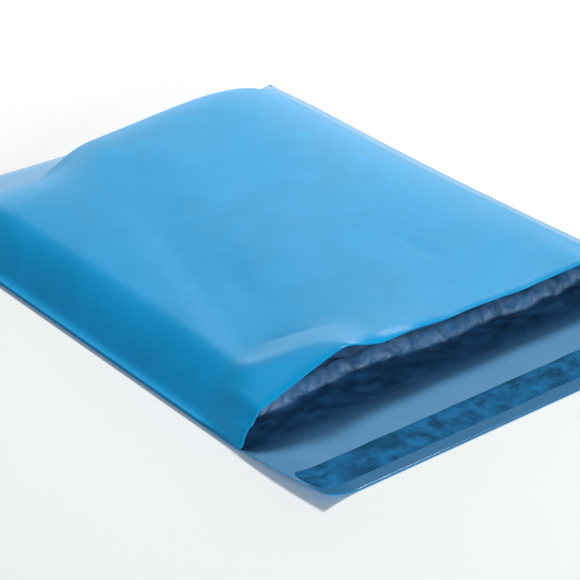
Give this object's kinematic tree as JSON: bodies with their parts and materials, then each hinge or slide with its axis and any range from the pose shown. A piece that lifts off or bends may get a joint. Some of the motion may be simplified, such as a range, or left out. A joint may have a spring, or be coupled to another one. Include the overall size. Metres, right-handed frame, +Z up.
{
  "type": "poly mailer bag",
  "caption": "Film mailing bag lying down, folded and side welded, puffed open at the mouth, with a peel-and-seal lip.",
  "frame": {"origin": "on the surface the bag lies on, under the middle of its outline", "axes": "+X across the bag, +Y from the mouth to the closed end, +Z up"},
  "size_m": [0.28, 0.392, 0.0344],
  "materials": {
    "film": "satin polythene film, light blue outside and dark blue grey inside, softly creased",
    "adhesive": "clear hot-melt glue bead",
    "liner": "crinkled glossy release film"
  },
  "bodies": {
    "root": {"bag_film": "film", "adhesive_strip": "adhesive", "release_liner": "liner"}
  },
  "joints": []
}
